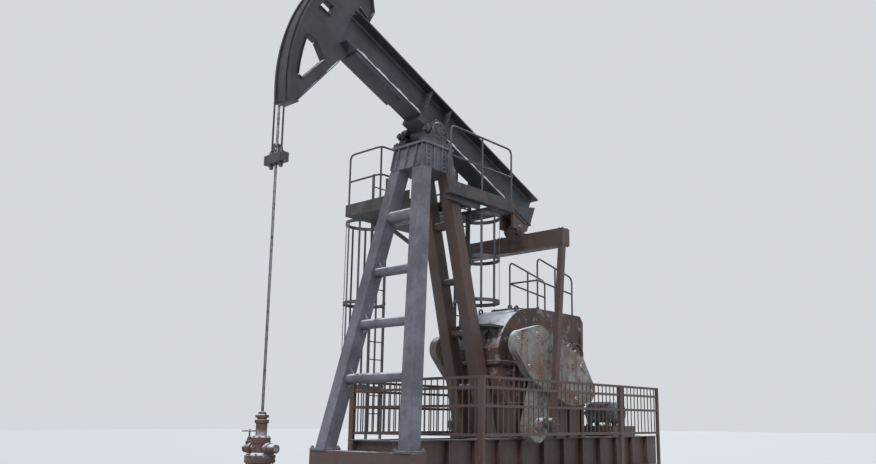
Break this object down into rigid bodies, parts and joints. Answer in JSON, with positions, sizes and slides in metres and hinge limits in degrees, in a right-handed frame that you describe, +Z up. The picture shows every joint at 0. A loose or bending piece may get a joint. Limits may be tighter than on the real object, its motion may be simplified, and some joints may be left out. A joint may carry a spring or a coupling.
{
  "type": "pumpjack",
  "caption": "Beam pumping unit: rocking beam with curved head, tower, cranks with counterweights, gearbox, platform, ladders and polished rod.",
  "frame": {"origin": "on the ground, straight below the axis on which the beam rocks", "axes": "+X from the horsehead to the motor, +Y to the left of that, +Z up"},
  "size_m": [9.9631, 4.2581, 8.4407],
  "materials": {
    "concrete": "rough cast concrete, stained",
    "rusty_steel": "worn oxide paint with rust",
    "grey_paint": "weathered grey paint",
    "pale_paint": "faded pale grey paint",
    "dark_steel": "dark worn paint",
    "rusty_iron": "rough casting with rust",
    "motor_paint": "grey paint",
    "belt_rubber": "matte rubber",
    "wire_rope": "greased wire rope",
    "bright_steel": "polished steel"
  },
  "bodies": {
    "root": {"foundation": "concrete", "base_frame": "rusty_steel", "front_leg_left": "grey_paint", "front_leg_right": "grey_paint", "front_rungs": "grey_paint", "rear_leg_left": "rusty_steel", "rear_leg_right": "rusty_steel", "rear_rungs": "rusty_steel", "tower_head": "grey_paint", "saddle_bearings": "dark_steel", "platform_deck": "dark_steel", "platform_brackets": "dark_steel", "platform_railing": "dark_steel", "ladder_left": "dark_steel", "ladder_left_cage": "dark_steel", "ladder_rear": "dark_steel", "ladder_rear_cage": "dark_steel", "gearbox_stand": "rusty_steel", "gearbox": "rusty_iron", "gearbox_landing": "dark_steel", "gearbox_deck": "dark_steel", "gearbox_railing": "dark_steel", "brake_drum": "rusty_iron", "driven_sheave": "rusty_iron", "motor": "motor_paint", "motor_base": "rusty_steel", "motor_sheave": "rusty_iron", "drive_belt": "belt_rubber", "fence_front": "rusty_steel", "fence_left": "rusty_steel", "fence_right": "rusty_steel", "fence_left_end": "rusty_steel", "fence_right_end": "rusty_steel", "wellhead": "rusty_iron", "stuffing_box": "rusty_iron"},
    "walking_beam": {"walking_beam": "grey_paint", "horsehead": "grey_paint", "saddle": "dark_steel", "tail_bracket": "rusty_steel", "wrapped_ropes": "wire_rope"},
    "equalizer": {"equalizer": "rusty_steel", "pitman_left": "rusty_steel", "pitman_right": "rusty_steel"},
    "cranks": {"crankshaft": "bright_steel", "crank_left": "pale_paint", "crank_right": "pale_paint", "counterweights": "pale_paint"},
    "carrier": {"carrier_bar": "dark_steel", "polished_rod": "bright_steel", "hanging_ropes": "wire_rope"}
  },
  "joints": [
    {"name": "beam_rock", "type": "hinge", "parent": "root", "child": "walking_beam", "pos_m": [0, 0, 6.25], "axis": [0, -1, 0], "range_deg": [0, 46]},
    {"name": "equalizer_swing", "type": "hinge", "parent": "walking_beam", "child": "equalizer", "pos_m": [2.44, 0, 5.12], "axis": [0, 1, 0], "range_deg": [0, 40.84]},
    {"name": "crank_turn", "type": "hinge", "parent": "root", "child": "cranks", "pos_m": [2.43, 0, 2.63], "axis": [0, 1, 0], "range_deg": [0, 161.02]},
    {"name": "rod_slide", "type": "slide", "parent": "root", "child": "carrier", "axis": [0, 0, -1], "range_m": [0, 2.2324], "deforming": ["hanging_ropes"]}
  ],
  "couplings": [
    {"joint": "equalizer_swing", "follows": "beam_rock", "ratio": 0.88743},
    {"joint": "crank_turn", "follows": "beam_rock", "ratio": 3.4994},
    {"joint": "rod_slide", "follows": "beam_rock", "m_per_rad": 2.78}
  ]
}
